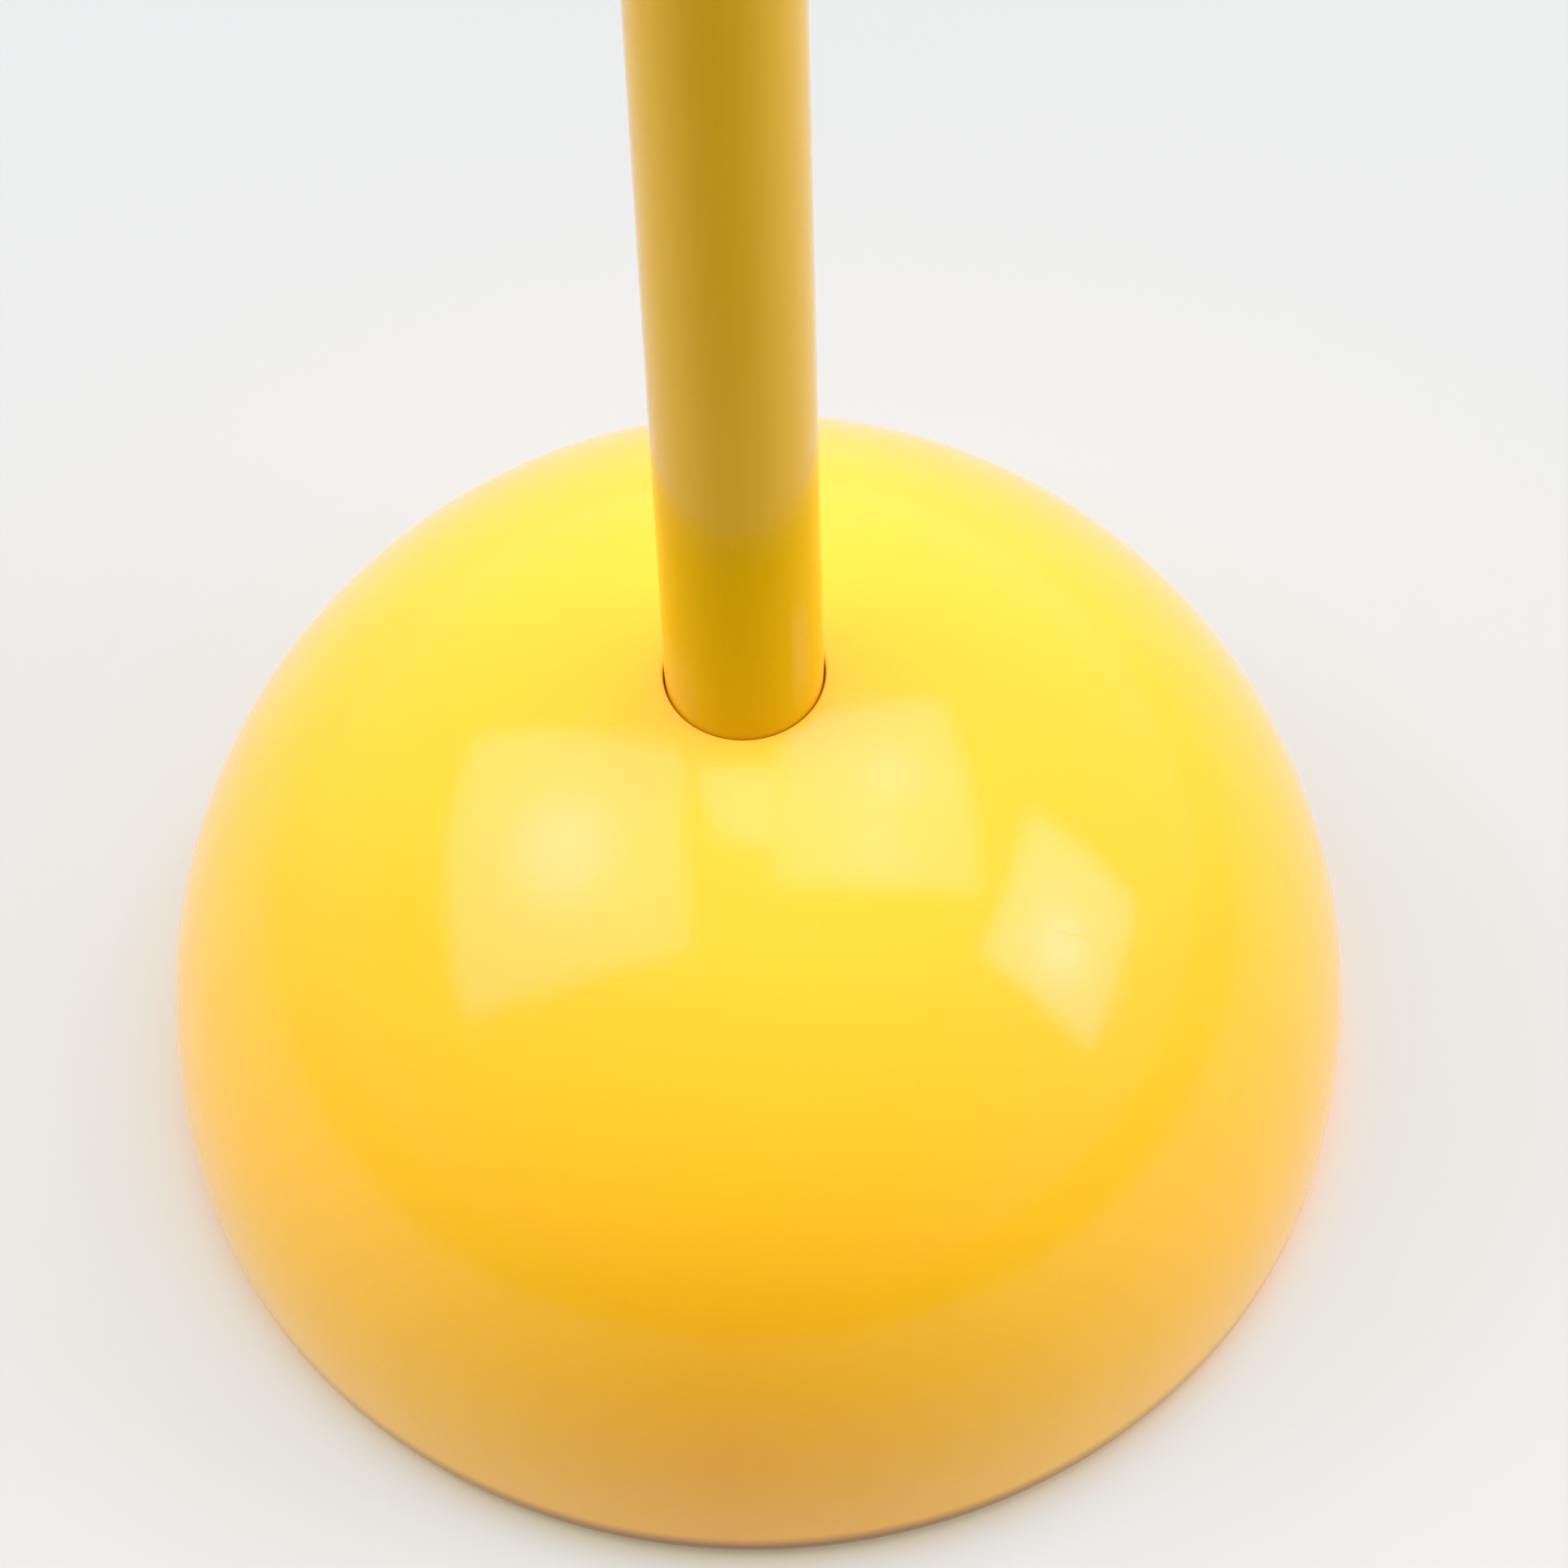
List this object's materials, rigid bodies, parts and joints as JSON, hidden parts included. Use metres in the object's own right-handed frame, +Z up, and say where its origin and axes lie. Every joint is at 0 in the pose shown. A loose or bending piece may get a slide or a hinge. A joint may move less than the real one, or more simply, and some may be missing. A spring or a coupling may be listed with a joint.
{
  "type": "slalom pole",
  "caption": "Free-standing round plastic pole in a weighted dome base with a close-fitting socket, rubber feet and a screw plug for the filling underneath.",
  "frame": {"origin": "on the pole's axis at the floor, under the rubber feet", "axes": "+Z up along the pole, +Y from the pole's axis towards the filler plug, which is the side away from the camera"},
  "size_m": [0.198, 0.198, 1.6184],
  "materials": {
    "base_yellow": "gloss",
    "pan_yellow": "satin",
    "pole_yellow": "gloss",
    "socket_plastic": "satin",
    "plug_plastic": "satin",
    "foot_rubber": "matte",
    "gasket_rubber": "matte",
    "sand": "matte"
  },
  "bodies": {
    "base": {"dome_shell": "base_yellow", "base_pan": "pan_yellow", "socket_tube": "socket_plastic", "sand_ballast": "sand", "foot_pad_1": "foot_rubber", "foot_pad_2": "foot_rubber", "foot_pad_3": "foot_rubber", "foot_pad_4": "foot_rubber"},
    "pole_foot": {"pole_foot_plug": "plug_plastic"},
    "pole": {"pole_tube": "pole_yellow", "pole_top_cap": "pole_yellow"},
    "plug_seal": {"filler_gasket": "gasket_rubber"},
    "plug": {"filler_cap": "plug_plastic"}
  },
  "joints": [
    {"name": "pole_lift", "type": "slide", "parent": "base", "child": "pole_foot", "axis": [0, 0, 1], "range_m": [0, 0.12]},
    {"name": "pole_spin", "type": "hinge", "parent": "pole_foot", "child": "pole", "pos_m": [0, 0, 0.0149], "axis": [0, 0, 1], "continuous": true},
    {"name": "plug_travel", "type": "slide", "parent": "base", "child": "plug_seal", "axis": [0, 0, -1], "range_m": [0, 0.01167]},
    {"name": "plug_turn", "type": "hinge", "parent": "plug_seal", "child": "plug", "pos_m": [0, 0.052, 0.0012], "axis": [0, 0, -1], "range_deg": [0, 840]}
  ],
  "couplings": [
    {"joint": "plug_travel", "follows": "plug_turn", "m_per_rad": 0.00079577}
  ]
}
